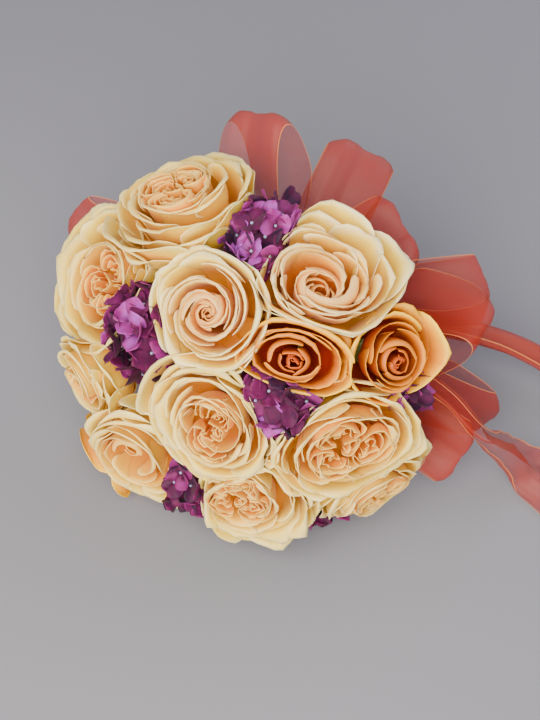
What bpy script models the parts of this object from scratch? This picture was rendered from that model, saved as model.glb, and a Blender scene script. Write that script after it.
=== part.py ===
"""Hand-tied posy of open roses and hydrangea with an organza bow, lying on its side.

Metres, +Z up. The posy rests on its lowest roses, its cut stem ends and its ribbon tails,
all at z = 0. The origin is the centre of the bounding box at that height.

Places on the posy are given by a clock angle round its axis (0 to the right, 90 to the
top), a distance from the axis, and a height along the axis above the plane of the rim.
"""

import math

import bmesh
import bpy
from mathutils import Vector

# The posy's own axes: OUT runs from the cut stems to the crown of the dome
TILT = math.radians(36.0)
SIDE = Vector((1.0, 0.0, 0.0))
UP = Vector((0.0, math.sin(TILT), math.cos(TILT)))
OUT = Vector((0.0, -math.cos(TILT), math.sin(TILT)))

GAP = 0.0003            # between pieces that touch
SHARP = math.radians(40.0)    # edges steeper than this stay sharp

# The dome that the flower heads stand on
DOME_RADIUS = 0.110
DOME_DEPTH = 0.076
LEAN_TO_AXIS = 0.35     # share of OUT in the direction that a head faces

# The bundle of stems
STEM_RADIUS = 0.0030
SPRIG_RADIUS = 0.0022
STEM_PITCH = 0.0063
OUTER_STEMS = 13
INNER_RING = STEM_PITCH
INNER_TURN, OUTER_TURN = 40, 0    # how far each ring is turned by the spiral of the stems
OUTER_RING = OUTER_STEMS * STEM_PITCH / (2 * math.pi)
BUNDLE_RADIUS = OUTER_RING + STEM_RADIUS
FAN_START = -0.060      # where the stems begin to spread
CUT_END = -0.155
BEND_STEPS = 6
BEND_PULL = 0.9         # roundness of the bend, as a share of its length
HIP_RADIUS = 0.0050
HIP_LENGTH = 0.010
HIP_SHOULDER = 0.4      # where the hip is full, as a share of its length below the petals
TUBE_RESOLUTION = 2     # eight sides round a stem

# What holds the bundle together
HANDLE_SIDES = 28
TAPE_TOP, TAPE_FOOT, TAPE_WALL = -0.067, -0.081, 0.0006
WRAP_TOP, WRAP_FOOT, WRAP_WALL = -0.062, -0.138, 0.0008
WRAP_STEP_TOP, WRAP_STEP_FOOT = TAPE_FOOT - 0.001, TAPE_FOOT - 0.004
BAND_TOP, BAND_FOOT, BAND_WALL = -0.0600, -0.0820, 0.0030
TAPE_RADIUS = BUNDLE_RADIUS + GAP
WRAP_RADIUS = TAPE_RADIUS + TAPE_WALL + GAP
BAND_RADIUS = WRAP_RADIUS + WRAP_WALL + GAP
BAND_OUTSIDE = BAND_RADIUS + BAND_WALL

# The ribbon: 50 mm organza, modelled thicker than it is
RIBBON_WIDTH = 0.050
RIBBON_WALL = 0.0010
LOWEST_RIBBON = RIBBON_WALL * 0.6    # middle of a ribbon that lies on the table
PINCH_WIDTH = 0.008
PINCH_HALF_DEPTH = 0.003
LOOP_STEPS = 16
LOOP_ROUNDNESS = 0.8    # under 1 spends more of the loop near its fold
OPEN_BY = 0.7           # share of the reach at which a loop has its full depth and width
CORNERS, FACE_CORNER = 4, 2     # of a ribbon's section, and the one its face begins at
KNOT_RADIUS = 0.0060
KNOT_CLOCK = -3

# The cut end of the lowest stem touches the table, which sets the height of the axis
CENTRE = Vector((-0.0444, -0.0341, BUNDLE_RADIUS * math.cos(TILT) - CUT_END * math.sin(TILT)))

# Clock angle, polar angle from the crown, head radius, head height, lift off the dome
ROSES = {
    "rose_01": (109, 22.5, 0.038, 0.046, 0.002),
    "rose_02": (63, 54, 0.0465, 0.050, 0.002),
    "rose_03": (127, 71, 0.045, 0.048, 0.010),
    "rose_04": (169, 73, 0.048, 0.050, 0.010),
    "rose_05": (205, 67, 0.027, 0.040, 0.012),
    "rose_06": (280, 16, 0.040, 0.046, 0.000),
    "rose_07": (244, 61, 0.043, 0.048, 0.006),
    "rose_08": (294, 54, 0.039, 0.046, 0.006),
    "rose_09": (346, 55, 0.047, 0.049, 0.002),
    "rose_10": (330, 88, 0.042, 0.046, 0.014),
    "rose_11": (34, 28, 0.032, 0.042, -0.004),
    "rose_12": (21, 67, 0.032, 0.044, 0.002),
    "rose_13": (235, 90, 0.031, 0.042, 0.032),
    "rose_14": (262, 99, 0.038, 0.045, 0.001),
}
ORANGE_ROSES = ("rose_11", "rose_12", "rose_13")
SPRIGS = {
    "hydrangea_1": (172, 34, 0.033, 0.030, -0.006),
    "hydrangea_2": (92, 54, 0.026, 0.030, -0.004),
    "hydrangea_3": (0, 22, 0.026, 0.030, -0.006),
    "hydrangea_4": (263, 56, 0.022, 0.028, 0.000),
    "hydrangea_5": (303, 97, 0.026, 0.028, 0.012),
    "hydrangea_6": (7, 81, 0.018, 0.026, -0.002),
}
FLOWERS = {**ROSES, **SPRIGS}
CENTRE_STEM = "rose_06"
INNER_RING_STEMS = ("hydrangea_3", "rose_11", "rose_01", "hydrangea_1", "rose_08", "rose_09")
HEAD_MIDDLE = 0.6       # share of a head's height at which it is pressed from
NEIGHBOURS_WITHIN = 1.5    # times the two radii

# A head's outline from the joint with the stem to the crown, as shares of radius and height
ROSE_OUTLINE = (
    (0.14, 0.00), (0.36, 0.05), (0.62, 0.16), (0.84, 0.34), (0.97, 0.56),
    (1.00, 0.74), (0.90, 0.86), (0.68, 0.93), (0.42, 0.99), (0.16, 1.00),
)
SPRIG_OUTLINE = (
    (0.14, 0.00), (0.55, 0.18), (0.90, 0.42), (1.00, 0.66), (0.82, 0.88), (0.45, 0.98),
    (0.12, 1.00),
)

# Clock angle at the band and at the tip, reach from the axis, whether in the front row, how
# far the loop is rolled about its length in degrees, and half its depth where it puffs open
LOOPS = {
    "ribbon_loop_1": (150, 171, 0.165, True, 10, 0.011),
    "ribbon_loop_2": (118, 110, 0.146, True, 25, 0.018),
    "ribbon_loop_3": (93, 84, 0.127, False, -25, 0.016),
    "ribbon_loop_4": (69, 58, 0.116, True, 15, 0.012),
    "ribbon_loop_5": (45, 27, 0.134, False, 0, 0.010),
    "ribbon_loop_6": (21, 23, 0.143, True, 60, 0.021),
    "ribbon_loop_7": (-3, -9, 0.152, False, -30, 0.011),
    "ribbon_loop_8": (-31, -15, 0.148, True, 0, 0.010),
}
FRONT_ROW = (-0.066, -0.048)    # height of the pinch, height of the tip
BACK_ROW = (-0.076, -0.100)

# Along each tail: right of the axis, behind the rim's centre, above the table, then the
# ribbon's width and its roll from level in degrees
BACK_TAIL_CLOCK, BACK_TAIL_ROLL = 15, 105
TAIL_TO_THE_BACK = (
    (0.0290, 0.0830, 0.0541, 0.012, 85), (0.0560, 0.0960, 0.0489, 0.014, 65),
    (0.0920, 0.1060, 0.0430, 0.014, 60), (0.1270, 0.1150, 0.0370, 0.013, 55),
    (0.1620, 0.1210, 0.0270, 0.016, 40), (0.2000, 0.1200, 0.0119, 0.028, 15),
    (0.2240, 0.1130, 0.0012, 0.040, 0), (0.2460, 0.1040, 0.0006, 0.048, 0),
)
FRONT_TAIL_ROLL = -60
TAIL_TO_THE_FRONT = (
    (0.0680, 0.0355, 0.0885, 0.014, -60), (0.1000, 0.0310, 0.0990, 0.014, -58),
    (0.1281, 0.0260, 0.0930, 0.012, -55), (0.1454, 0.0200, 0.0815, 0.012, -48),
    (0.1535, 0.0250, 0.0600, 0.014, -42), (0.1620, 0.0380, 0.0320, 0.020, -28),
    (0.1730, 0.0470, 0.0110, 0.029, -14), (0.1890, 0.0480, 0.0012, 0.040, 0),
    (0.2180, 0.0421, 0.0006, 0.050, 0),
)
TAIL_ROOT_WIDTH, TAIL_ROOT_GAP = 0.010, 0.0012
TAIL_STEPS = 6          # cross-sections between two places on a tail


def clear_scene():
    for obj in list(bpy.data.objects):
        bpy.data.objects.remove(obj, do_unlink=True)


def material(name, colour, roughness):
    made = bpy.data.materials.new(name)
    made.use_nodes = True
    shader = made.node_tree.nodes["Principled BSDF"]
    shader.inputs["Base Color"].default_value = (*colour, 1.0)
    shader.inputs["Roughness"].default_value = roughness
    shader.inputs["Metallic"].default_value = 0.0
    return made


def linked(name, data, look):
    data.materials.append(look)
    bpy.context.scene.collection.objects.link(bpy.data.objects.new(name, data))


def mesh_object(name, verts, faces, look, smooth):
    mesh = bpy.data.meshes.new(name)
    mesh.from_pydata([tuple(v) for v in verts], [], faces)
    built = bmesh.new()
    built.from_mesh(mesh)
    bmesh.ops.recalc_face_normals(built, faces=built.faces)
    built.to_mesh(mesh)
    built.free()
    if smooth:
        mesh.shade_smooth()
        mesh.set_sharp_from_angle(angle=SHARP)
    linked(name, mesh, look)


def ring_faces(rings, sides, closed_path=False):
    """Quads between rings of equal size, and a cap on each end of an open row."""
    faces = []
    for i in range(rings if closed_path else rings - 1):
        for j in range(sides):
            a, b = i * sides + j, i * sides + (j + 1) % sides
            after = ((i + 1) % rings) * sides
            faces.append((a, b, after + (j + 1) % sides, after + j))
    if not closed_path:
        faces.append(tuple(reversed(range(sides))))
        faces.append(tuple(range((rings - 1) * sides, rings * sides)))
    return faces


def hermite(start, start_pull, end, end_pull, t):
    return (
        start * (2 * t**3 - 3 * t**2 + 1)
        + start_pull * (t**3 - 2 * t**2 + t)
        + end * (3 * t**2 - 2 * t**3)
        + end_pull * (t**3 - t**2)
    )


def smooth_share(value):
    value = min(max(value, 0.0), 1.0)
    return value * value * (3 - 2 * value)


def radial(clock):
    angle = math.radians(clock)
    return SIDE * math.cos(angle) + UP * math.sin(angle)


def posy_point(clock, distance, height):
    return CENTRE + radial(clock) * distance + OUT * height


# Flower heads


def head_pose(clock, polar, height, lift):
    """Where a flower head is joined to its stem, and the way that it faces."""
    angle = math.radians(polar)
    across, along = math.sin(angle), math.cos(angle)
    normal = (radial(clock) * (across / DOME_RADIUS) + OUT * (along / DOME_DEPTH)).normalized()
    top = posy_point(clock, DOME_RADIUS * across, DOME_DEPTH * along)
    facing = (normal + OUT * LEAN_TO_AXIS).normalized()
    return top + normal * lift - facing * height, facing


def head_centre(name):
    clock, polar, _, height, lift = FLOWERS[name]
    base, facing = head_pose(clock, polar, height, lift)
    return base + facing * (height * HEAD_MIDDLE)


def walls_round(name):
    """The flat walls where a head presses on its neighbours and on the table."""
    centre, radius = head_centre(name), FLOWERS[name][2]
    walls = [(Vector((0.0, 0.0, -1.0)), centre.z)]
    for other in FLOWERS:
        offset = head_centre(other) - centre
        reach = radius + FLOWERS[other][2]
        if other != name and offset.length < reach * NEIGHBOURS_WITHIN:
            share = offset.length * radius / reach
            walls.append((offset.normalized(), share - GAP / 2))
    return walls


def pressed_length(direction, length, walls):
    """How far a head reaches in a direction before it meets a wall."""
    for normal, distance in walls:
        closing = direction.dot(normal)
        if closing * length > distance:
            length = distance / closing
    return length


def head(flower, node, outline, lobes, lobe_depth, twist, sides, look):
    """A turned flower head with wound lobes, pressed flat against its neighbours."""
    clock, polar, radius, height, lift = FLOWERS[flower]
    base, facing = head_pose(clock, polar, height, lift)
    centre, walls = head_centre(flower), walls_round(flower)
    across = facing.orthogonal().normalized()
    side = facing.cross(across)
    verts = []
    for i, (wide, high) in enumerate(outline):
        share = i / (len(outline) - 1)
        for j in range(sides):
            angle = 2 * math.pi * j / sides
            wave = math.cos(lobes * angle + twist * share)
            reach = radius * wide * (1 + lobe_depth * math.sin(math.pi * share) * wave)
            rim = across * math.cos(angle) + side * math.sin(angle)
            offset = base + rim * reach + facing * (height * high) - centre
            direction = offset.normalized()
            verts.append(centre + direction * pressed_length(direction, offset.length, walls))
    mesh_object(node, verts, ring_faces(len(outline), sides), look, smooth=True)


def rose_head(rose, look):
    head(
        rose, rose + "_petals", ROSE_OUTLINE,
        lobes=5, lobe_depth=0.07, twist=2.6, sides=20, look=look,
    )


def sprig_head(sprig, look):
    head(
        sprig, sprig + "_florets", SPRIG_OUTLINE,
        lobes=6, lobe_depth=0.10, twist=1.0, sides=16, look=look,
    )


# Stems


def stem_slots():
    """Clock angle and distance from the axis at which each stem runs through the handle."""
    slots = {CENTRE_STEM: (0.0, 0.0)}
    outer = [name for name in FLOWERS if name != CENTRE_STEM and name not in INNER_RING_STEMS]
    rings = ((INNER_RING_STEMS, INNER_RING, INNER_TURN), (outer, OUTER_RING, OUTER_TURN))
    for names, distance, turn in rings:
        in_order = sorted(names, key=lambda name: FLOWERS[name][0])
        first = FLOWERS[in_order[0]][0] + turn
        for i, name in enumerate(in_order):
            slots[name] = (first + 360 * i / len(in_order), distance)
    return slots


def stem(flower, slot, radius, hip_radius, look):
    """One stem: straight through the handle, bent out to its flower, thick at the hip."""
    clock, polar, _, height, lift = FLOWERS[flower]
    base, facing = head_pose(clock, polar, height, lift)
    joint = base - facing * GAP
    neck = joint - facing * HIP_LENGTH
    fan = posy_point(*slot, FAN_START)
    pull = (neck - fan).length * BEND_PULL
    points = [posy_point(*slot, CUT_END)]
    for step in range(BEND_STEPS + 1):
        points.append(hermite(fan, OUT * pull, neck, facing * pull, step / BEND_STEPS))
    points += [joint - facing * (HIP_LENGTH * HIP_SHOULDER), joint]
    curve = bpy.data.curves.new(flower + "_stem", "CURVE")
    curve.dimensions = "3D"
    curve.bevel_depth = radius
    curve.bevel_resolution = TUBE_RESOLUTION
    curve.use_fill_caps = True
    spline = curve.splines.new("POLY")
    spline.points.add(len(points) - 1)
    for place, point in zip(spline.points, points):
        place.co = (*point, 1.0)
    for place in spline.points[-2:]:
        place.radius = hip_radius / radius
    linked(flower + "_stem", curve, look)


# Handle


def turned_sleeve(name, outline, look):
    """A sleeve round the posy's axis. The outline is a closed row of (distance, height)."""
    verts = []
    for j in range(HANDLE_SIDES):
        clock = 360 * j / HANDLE_SIDES
        verts += [posy_point(clock, distance, height) for distance, height in outline]
    faces = ring_faces(HANDLE_SIDES, len(outline), closed_path=True)
    mesh_object(name, verts, faces, look, smooth=True)


def binding_tape(look):
    """Florist's tape, wound tight round the stems where they begin to spread."""
    outside = TAPE_RADIUS + TAPE_WALL
    outline = (
        (TAPE_RADIUS, TAPE_TOP), (TAPE_RADIUS, TAPE_FOOT), (outside, TAPE_FOOT), (outside, TAPE_TOP),
    )
    turned_sleeve("binding_tape", outline, look)


def handle_wrap(look):
    """The ribbon round the handle lies on the stems, and passes over the binding tape."""
    low, high = TAPE_RADIUS, WRAP_RADIUS
    inside = (
        (high, WRAP_TOP), (high, WRAP_STEP_TOP), (low, WRAP_STEP_FOOT), (low, WRAP_FOOT),
    )
    outside = tuple((distance + WRAP_WALL, height) for distance, height in reversed(inside))
    turned_sleeve("handle_wrap", inside + outside, look)


def tie_band(look):
    """The ribbon that ties the bow to the handle."""
    outline = (
        (BAND_RADIUS, BAND_TOP), (BAND_RADIUS, BAND_FOOT),
        (BAND_OUTSIDE, BAND_FOOT), (BAND_OUTSIDE, BAND_TOP),
    )
    turned_sleeve("tie_band", outline, look)


# Bow


def ribbon_faces(sections):
    """Triangles of a ribbon, split along the same diagonals on both sides, so that its wall keeps
    its thickness where the ribbon twists."""
    faces = []
    for a, b, c, d in ring_faces(sections, CORNERS):
        if a % CORNERS == FACE_CORNER:
            faces += [(a, b, d), (b, c, d)]
        else:
            faces += [(a, b, c), (a, c, d)]
    return faces


def ribbon_strip(name, sections, look):
    """A flat ribbon. Each section is its middle, its width direction, its face and its width."""
    verts = []
    for middle, across, face, width in sections:
        edge, through = across * (width / 2), face * (RIBBON_WALL / 2)
        verts += [
            middle - edge - through, middle + edge - through,
            middle + edge + through, middle - edge + through,
        ]
    mesh_object(name, verts, ribbon_faces(len(sections)), look, smooth=False)


def ribbon_loop(name, pinch_clock, tip_clock, reach, in_front, roll, puff, look):
    """One loop of the bow, from the band out to its fold and back to the band."""
    pinch_height, tip_height = FRONT_ROW if in_front else BACK_ROW
    pinch = posy_point(pinch_clock, BAND_OUTSIDE + GAP, pinch_height)
    tip = posy_point(tip_clock, reach, tip_height)
    across_band = OUT.cross(radial(pinch_clock))
    way = (tip - pinch).normalized()
    level, turn = OUT.cross(way).normalized(), math.radians(roll)
    deep = way.cross(level)
    across_tip = level * math.cos(turn) - deep * math.sin(turn)
    deep_tip = deep * math.cos(turn) + level * math.sin(turn)
    middles, acrosses, widths = [], [], []
    for i in range(LOOP_STEPS + 1):
        angle = math.pi * i / LOOP_STEPS
        share = math.sin(angle) ** LOOP_ROUNDNESS
        opened = smooth_share(share / OPEN_BY)
        depth = PINCH_HALF_DEPTH + (puff - PINCH_HALF_DEPTH) * opened
        middles.append(pinch.lerp(tip, share) + OUT.lerp(deep_tip, opened) * (depth * math.cos(angle)))
        acrosses.append(across_band.lerp(across_tip, share).normalized())
        widths.append(PINCH_WIDTH + (RIBBON_WIDTH - PINCH_WIDTH) * opened)
    faces = [OUT]
    for i in range(1, LOOP_STEPS):
        faces.append((middles[i + 1] - middles[i - 1]).cross(acrosses[i]).normalized())
    faces.append(-OUT)
    ribbon_strip(name, list(zip(middles, acrosses, faces, widths)), look)


def ribbon_knot(look):
    """The small tight knot on the band, from which the front tail comes."""
    middle = posy_point(KNOT_CLOCK, BAND_OUTSIDE + GAP + KNOT_RADIUS, BAND_TOP)
    built = bmesh.new()
    bmesh.ops.create_icosphere(built, subdivisions=2, radius=KNOT_RADIUS)
    bmesh.ops.translate(built, verts=built.verts, vec=middle)
    mesh = bpy.data.meshes.new("ribbon_knot")
    built.to_mesh(mesh)
    built.free()
    mesh.shade_smooth()
    linked("ribbon_knot", mesh, look)


def ribbon_tail(name, root, root_roll, loose_places, look):
    """A loose end of the ribbon, from its root at the band and smooth through its places."""
    places = [(root, TAIL_ROOT_WIDTH, root_roll)]
    for right, behind, above, width, roll in loose_places:
        places.append((Vector((CENTRE.x + right, CENTRE.y + behind, above)), width, roll))
    last = len(places) - 1
    pulls = [(places[min(i + 1, last)][0] - places[max(i - 1, 0)][0]) / 2 for i in range(last + 1)]
    middles, widths, rolls = [], [], []
    for step in range(last * TAIL_STEPS + 1):
        i = min(step // TAIL_STEPS, last - 1)
        t = step / TAIL_STEPS - i
        (start, start_width, start_roll), (end, end_width, end_roll) = places[i], places[i + 1]
        middle = hermite(start, pulls[i], end, pulls[i + 1], t)
        middle.z = max(middle.z, LOWEST_RIBBON)
        middles.append(middle)
        widths.append(start_width + (end_width - start_width) * t)
        rolls.append(math.radians(start_roll + (end_roll - start_roll) * t))
    sections = []
    for i, middle in enumerate(middles):
        run = (middles[min(i + 1, len(middles) - 1)] - middles[max(i - 1, 0)]).normalized()
        level = run.cross(Vector((0.0, 0.0, 1.0))).normalized()
        across = level * math.cos(rolls[i]) + level.cross(run) * math.sin(rolls[i])
        sections.append((middle, across, run.cross(across), widths[i]))
    ribbon_strip(name, sections, look)


def back_tail(look):
    """Comes from under the foot of the band, and lies down behind the bow."""
    height = BAND_FOOT - TAIL_ROOT_GAP
    root = posy_point(BACK_TAIL_CLOCK, BAND_RADIUS + GAP + RIBBON_WALL / 2, height)
    ribbon_tail("ribbon_tail_back", root, BACK_TAIL_ROLL, TAIL_TO_THE_BACK, look)


def front_tail(look):
    """Comes out of the knot, passes over a loop and lies down beside the bow."""
    root = posy_point(KNOT_CLOCK, BAND_OUTSIDE + 2 * (KNOT_RADIUS + GAP), BAND_TOP)
    ribbon_tail("ribbon_tail_front", root, FRONT_TAIL_ROLL, TAIL_TO_THE_FRONT, look)


clear_scene()
cream_petal = material("cream_petal", (0.91, 0.73, 0.45), 0.55)
orange_petal = material("orange_petal", (0.80, 0.36, 0.07), 0.50)
purple_sepal = material("purple_sepal", (0.16, 0.03, 0.20), 0.60)
green_stem = material("green_stem", (0.10, 0.19, 0.05), 0.50)
rust_organza = material("rust_organza", (0.50, 0.10, 0.05), 0.45)
binding = material("binding", (0.13, 0.20, 0.08), 0.60)

for rose in ROSES:
    rose_head(rose, orange_petal if rose in ORANGE_ROSES else cream_petal)
for sprig in SPRIGS:
    sprig_head(sprig, purple_sepal)
for flower, slot in stem_slots().items():
    if flower in ROSES:
        stem(flower, slot, STEM_RADIUS, HIP_RADIUS, green_stem)
    else:
        stem(flower, slot, SPRIG_RADIUS, SPRIG_RADIUS, green_stem)
binding_tape(binding)
handle_wrap(rust_organza)
tie_band(rust_organza)
for loop, shape in LOOPS.items():
    ribbon_loop(loop, *shape, rust_organza)
ribbon_knot(rust_organza)
back_tail(rust_organza)
front_tail(rust_organza)
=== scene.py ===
"""Hand-tied posy of open garden roses and hydrangea, bound with organza ribbon.

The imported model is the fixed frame, and every piece is made round it in metres: the flower
heads, the stems and calyxes under them, the binding of the handle, then the bow.
"""

import math
import random

import bpy
import numpy as np
from mathutils import Matrix, Vector


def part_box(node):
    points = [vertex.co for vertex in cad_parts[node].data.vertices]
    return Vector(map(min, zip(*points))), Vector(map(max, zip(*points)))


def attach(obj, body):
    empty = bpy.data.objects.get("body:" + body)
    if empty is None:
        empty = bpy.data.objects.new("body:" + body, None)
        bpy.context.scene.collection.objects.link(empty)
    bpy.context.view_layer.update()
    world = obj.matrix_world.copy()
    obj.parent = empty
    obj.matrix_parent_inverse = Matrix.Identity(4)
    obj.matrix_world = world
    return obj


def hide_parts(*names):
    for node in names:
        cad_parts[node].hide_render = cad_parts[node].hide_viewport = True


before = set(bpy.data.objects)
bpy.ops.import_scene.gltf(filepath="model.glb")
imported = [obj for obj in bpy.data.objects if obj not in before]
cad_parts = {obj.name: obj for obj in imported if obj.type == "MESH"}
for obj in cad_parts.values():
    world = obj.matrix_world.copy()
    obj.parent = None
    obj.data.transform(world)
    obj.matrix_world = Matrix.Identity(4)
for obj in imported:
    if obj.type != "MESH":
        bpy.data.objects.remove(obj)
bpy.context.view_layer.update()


# The posy lies on its side, tilted up by the roses under it. OUT runs from the cut stems to
# the crown of the dome, SIDE to the right and UP across both. Places on it are a clock angle
# round that axis, a distance from it and a height above the rim of the dome.

TILT = math.radians(36.0)
SIDE = Vector((1.0, 0.0, 0.0))
UP = Vector((0.0, math.sin(TILT), math.cos(TILT)))
OUT = Vector((0.0, -math.cos(TILT), math.sin(TILT)))
BAND_TO_RIM = 0.071     # from the middle of the tie band up to the plane of the rim


def middle_of(title):
    low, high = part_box(title)
    return (Vector(low) + Vector(high)) / 2


CENTRE = middle_of("tie_band") + OUT * BAND_TO_RIM


def radial(clock):
    """The direction out from the axis at a clock angle in degrees."""
    angle = math.radians(clock)
    return SIDE * math.cos(angle) + UP * math.sin(angle)


def posy_point(clock, distance, height):
    return CENTRE + radial(clock) * distance + OUT * height


# Camera, lights and floor, none of them part of the posy. Two softboxes stand in for a bright
# room, and the floor is matt grey backdrop paper laid flat.

CAMERA_AZIMUTH, CAMERA_ELEVATION = math.radians(24.0), math.radians(55.0)
CAMERA_DISTANCE = 0.76
AIM_RIGHT, AIM_DOWN = 0.0114, 0.0051
LENS = 60.0


def srgb(colour):
    """A hex colour as the linear RGBA that shaders take."""
    values = [int(colour[i:i + 2], 16) / 255 for i in (1, 3, 5)]
    linear = [v / 12.92 if v <= 0.04045 else ((v + 0.055) / 1.055) ** 2.4 for v in values]
    return (*linear, 1.0)


def connect(tree, made, **links):
    """Give sockets values or links, by name or as _0, _1. A node stands for its first output."""
    for name, value in links.items():
        socket = made.inputs[int(name[1:]) if name[0] == "_" else name.replace("_", " ")]
        if isinstance(value, bpy.types.Node):
            value = value.outputs[0]
        if isinstance(value, bpy.types.NodeSocket):
            tree.links.new(value, socket)
        else:
            socket.default_value = value


def node(tree, kind, settings=None, **links):
    """A shader node with its settings, its values and what it is linked to."""
    made = tree.nodes.new("ShaderNode" + kind)
    for name, value in (settings or {}).items():
        setattr(made, name, value)
    connect(tree, made, **links)
    return made


def new_material(name, **values):
    """A material with its tree and its Principled shader, whose sockets take the values."""
    made = bpy.data.materials.new(name)
    made.use_nodes = True
    tree = made.node_tree
    shader = tree.nodes["Principled BSDF"]
    connect(tree, shader, **values)
    return made, tree, shader


def deselect():
    bpy.ops.object.select_all(action="DESELECT")


back = Vector((
    math.sin(CAMERA_AZIMUTH) * math.cos(CAMERA_ELEVATION),
    -math.cos(CAMERA_AZIMUTH) * math.cos(CAMERA_ELEVATION),
    math.sin(CAMERA_ELEVATION),
))
right = Vector((math.cos(CAMERA_AZIMUTH), math.sin(CAMERA_AZIMUTH), 0.0))
above = back.cross(right)
camera_data = bpy.data.cameras.new("camera")
camera_data.lens = LENS
camera = bpy.data.objects.new("camera", camera_data)
place = CENTRE + back * CAMERA_DISTANCE + right * AIM_RIGHT - above * AIM_DOWN
turn = Matrix((right, above, back)).transposed()
camera.matrix_world = Matrix.Translation(place) @ turn.to_4x4()
bpy.context.scene.collection.objects.link(camera)
bpy.context.scene.camera = camera


def soft_light(name, place, size, power, colour):
    """A square softbox aimed at the middle of the posy."""
    data = bpy.data.lights.new(name, "AREA")
    data.shape = "SQUARE"
    data.size = size
    data.energy = power
    data.color = srgb(colour)[:3]
    light = bpy.data.objects.new(name, data)
    light.location = place
    aim = CENTRE - Vector(place)
    light.rotation_euler = aim.to_track_quat("-Z", "Y").to_euler()
    light.visible_camera = False
    bpy.context.scene.collection.objects.link(light)


soft_light("key_light", (0.02, -0.86, 0.88), 1.40, 56.0, "#FFEED2")
soft_light("back_light", (0.55, 0.95, 0.95), 1.20, 12.0, "#FFF4F0")
world = bpy.data.worlds.new("studio")
world.use_nodes = True
world.node_tree.nodes["Background"].inputs["Color"].default_value = srgb("#E4DED8")
world.node_tree.nodes["Background"].inputs["Strength"].default_value = 0.64
bpy.context.scene.world = world

FLOOR_SIZE = 6.0
deselect()
bpy.ops.mesh.primitive_plane_add(size=FLOOR_SIZE, location=(0.0, 0.0, 0.0))
floor = bpy.context.object
floor.name = "floor"
paper, _, _ = new_material("matte_backdrop_paper", Base_Color=srgb("#73788A"), Roughness=0.9)
floor.data.materials.append(paper)


# Rose heads. Each is some thirty petals set round the hip in golden-angle order: a rolled or
# folded heart, cupped petals with rolled-out rims round it, and broad outer petals pressed
# against the neighbouring heads. Cream garden roses open wide; the orange ones stay high.

# The dome that the heads stand on, and how far they lean to its axis
DOME_RADIUS, DOME_DEPTH, LEAN_TO_AXIS = 0.110, 0.076, 0.35
# Clock angle, polar angle from the crown, radius, height and lift off the dome
ROSES = {
    "rose_01": (109, 22.5, 0.038, 0.046, 0.002),
    "rose_02": (63, 54, 0.0465, 0.050, 0.002),
    "rose_03": (127, 71, 0.045, 0.048, 0.010),
    "rose_04": (169, 73, 0.048, 0.050, 0.010),
    "rose_05": (205, 67, 0.027, 0.040, 0.012),
    "rose_06": (280, 16, 0.040, 0.046, 0.000),
    "rose_07": (244, 61, 0.043, 0.048, 0.006),
    "rose_08": (294, 54, 0.039, 0.046, 0.006),
    "rose_09": (346, 55, 0.047, 0.049, 0.002),
    "rose_10": (330, 88, 0.042, 0.046, 0.014),
    "rose_11": (34, 28, 0.032, 0.042, -0.004),
    "rose_12": (21, 67, 0.032, 0.044, 0.002),
    "rose_13": (235, 90, 0.031, 0.042, 0.032),
    "rose_14": (262, 99, 0.038, 0.045, 0.001),
}
SPRIGS = {
    "hydrangea_1": (172, 34, 0.033, 0.030, -0.006),
    "hydrangea_2": (92, 54, 0.026, 0.030, -0.004),
    "hydrangea_3": (0, 22, 0.026, 0.030, -0.006),
    "hydrangea_4": (263, 56, 0.022, 0.028, 0.000),
    "hydrangea_5": (303, 97, 0.026, 0.028, 0.012),
    "hydrangea_6": (7, 81, 0.018, 0.026, -0.002),
}
FLOWERS = {**ROSES, **SPRIGS}
HEAD_MIDDLE = 0.6       # share of a head's height at which it is pressed from
TABLE_CLEARANCE = 0.0008
NEIGHBOURS_WITHIN = 1.5     # times the two radii
PRESSED_FROM = 0.70     # share of the way to a wall where a head begins to give
NEAREST_WALL = 0.002    # no wall stands closer than this to the middle of a head


def head_axes(flower):
    """The joint with the stem, then the directions across, up and out of a flower head."""
    clock, polar, _, height, lift = FLOWERS[flower]
    angle = math.radians(polar)
    out, along = math.sin(angle), math.cos(angle)
    normal = (radial(clock) * (out / DOME_RADIUS) + OUT * (along / DOME_DEPTH)).normalized()
    top = posy_point(clock, DOME_RADIUS * out, DOME_DEPTH * along)
    facing = (normal + OUT * LEAN_TO_AXIS).normalized()
    across = (SIDE - facing * SIDE.dot(facing)).normalized()
    return top + normal * lift - facing * height, across, facing.cross(across), facing


def head_middle(flower):
    base, _, _, facing = head_axes(flower)
    return base + facing * (FLOWERS[flower][3] * HEAD_MIDDLE)


def walls_round(flower):
    """The planes where a head meets its neighbours and the table, from its own middle."""
    middle, radius = head_middle(flower), FLOWERS[flower][2]
    walls = []
    for other in FLOWERS:
        offset = head_middle(other) - middle
        reach = radius + FLOWERS[other][2]
        if other != flower and offset.length < reach * NEIGHBOURS_WITHIN:
            walls.append((tuple(offset.normalized()), offset.length * radius / reach))
    return walls


def squeeze(share, start, limit):
    """What each place keeps of its distance, so that its share eases from start to the limit."""
    room = limit - start
    eased = start + room * (1 - np.exp(-np.maximum(share - start, 0.0) / room))
    return np.where(share > start, eased / np.maximum(share, 1e-6), 1.0)[:, None]


def pressed(points, flower, give):
    """Points of a head, squeezed smoothly towards the walls that they would pass."""
    middle = np.array(head_middle(flower))
    offset = points - middle
    share = np.zeros(len(points))
    limit = 1.0 + give
    table = ((0.0, 0.0, -1.0), (middle[2] - TABLE_CLEARANCE) / limit)
    for normal, distance in walls_round(flower) + [table]:
        share = np.maximum(share, offset @ np.array(normal) / max(distance, NEAREST_WALL))
    return middle + offset * squeeze(share, PRESSED_FROM, limit)


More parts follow.
